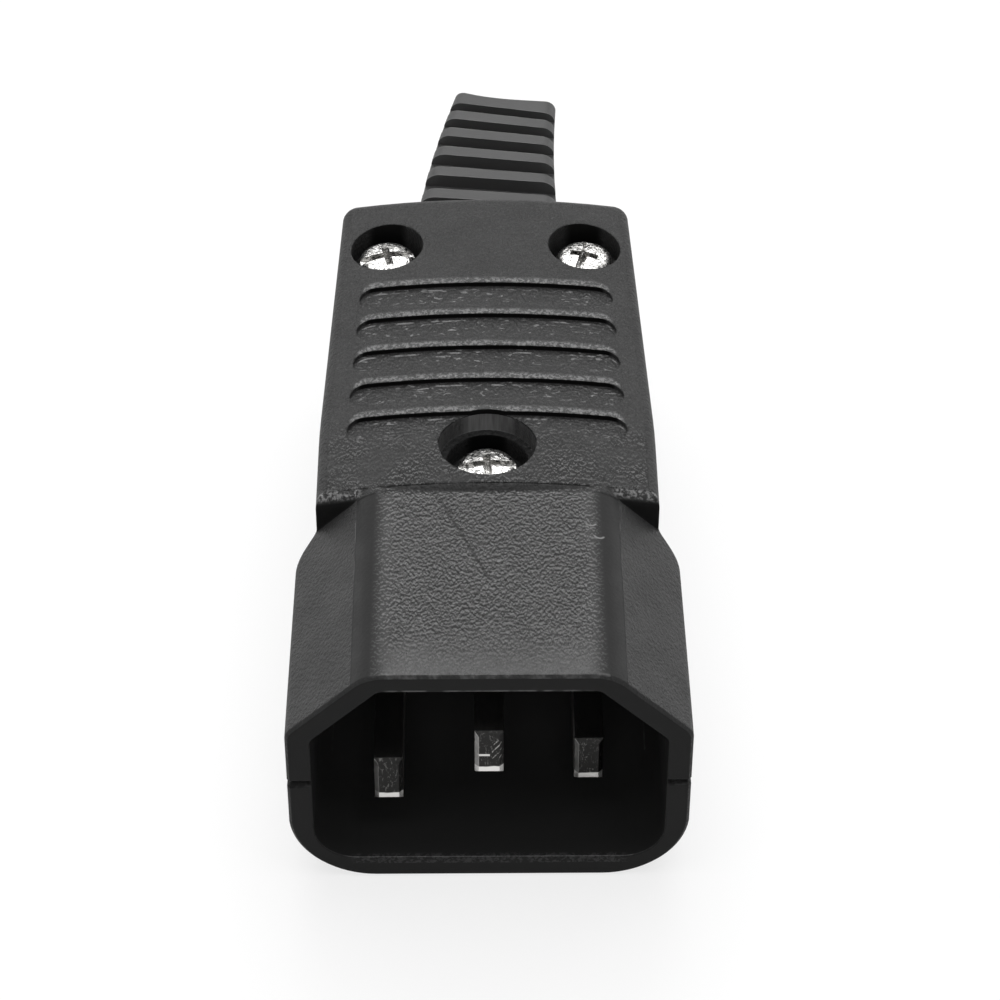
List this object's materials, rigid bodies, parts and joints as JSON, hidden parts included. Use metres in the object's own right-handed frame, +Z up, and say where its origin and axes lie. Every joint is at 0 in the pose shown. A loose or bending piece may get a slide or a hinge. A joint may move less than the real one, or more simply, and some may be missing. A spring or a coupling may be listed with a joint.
{
  "type": "rewirable iec plug",
  "caption": "Rewirable inline mains plug with flat pins in a chamfered shroud, two screwed shell halves with finger pockets, and a ribbed boot where the cord enters.",
  "frame": {"origin": "on the flat base, at mid width, under the step between the shroud and the grip", "axes": "+X across the plug, to the right seen from the mating end; +Y from the mating end to the cord; +Z up from the base"},
  "size_m": [0.0278, 0.075, 0.0202],
  "materials": {
    "shell_plastic": "black, fine spark-eroded grain",
    "boot_rubber": "black, smooth and matt",
    "plated_brass": "nickel plated",
    "plain_brass": "bare brass",
    "plated_steel": "bright nickel plated"
  },
  "bodies": {
    "root": {"upper_shell": "shell_plastic", "lower_shell": "shell_plastic", "strain_relief_boot": "boot_rubber", "line_pin": "plated_brass", "neutral_pin": "plated_brass", "earth_pin": "plated_brass", "line_wire_clamp": "plain_brass", "neutral_wire_clamp": "plain_brass", "earth_wire_clamp": "plain_brass", "terminal_screws": "plated_steel", "cord_clamp": "shell_plastic", "cord_clamp_screws": "plated_steel", "rear_housing_screws": "plated_steel", "front_housing_screw": "plated_steel", "housing_nuts": "plain_brass"}
  },
  "joints": []
}
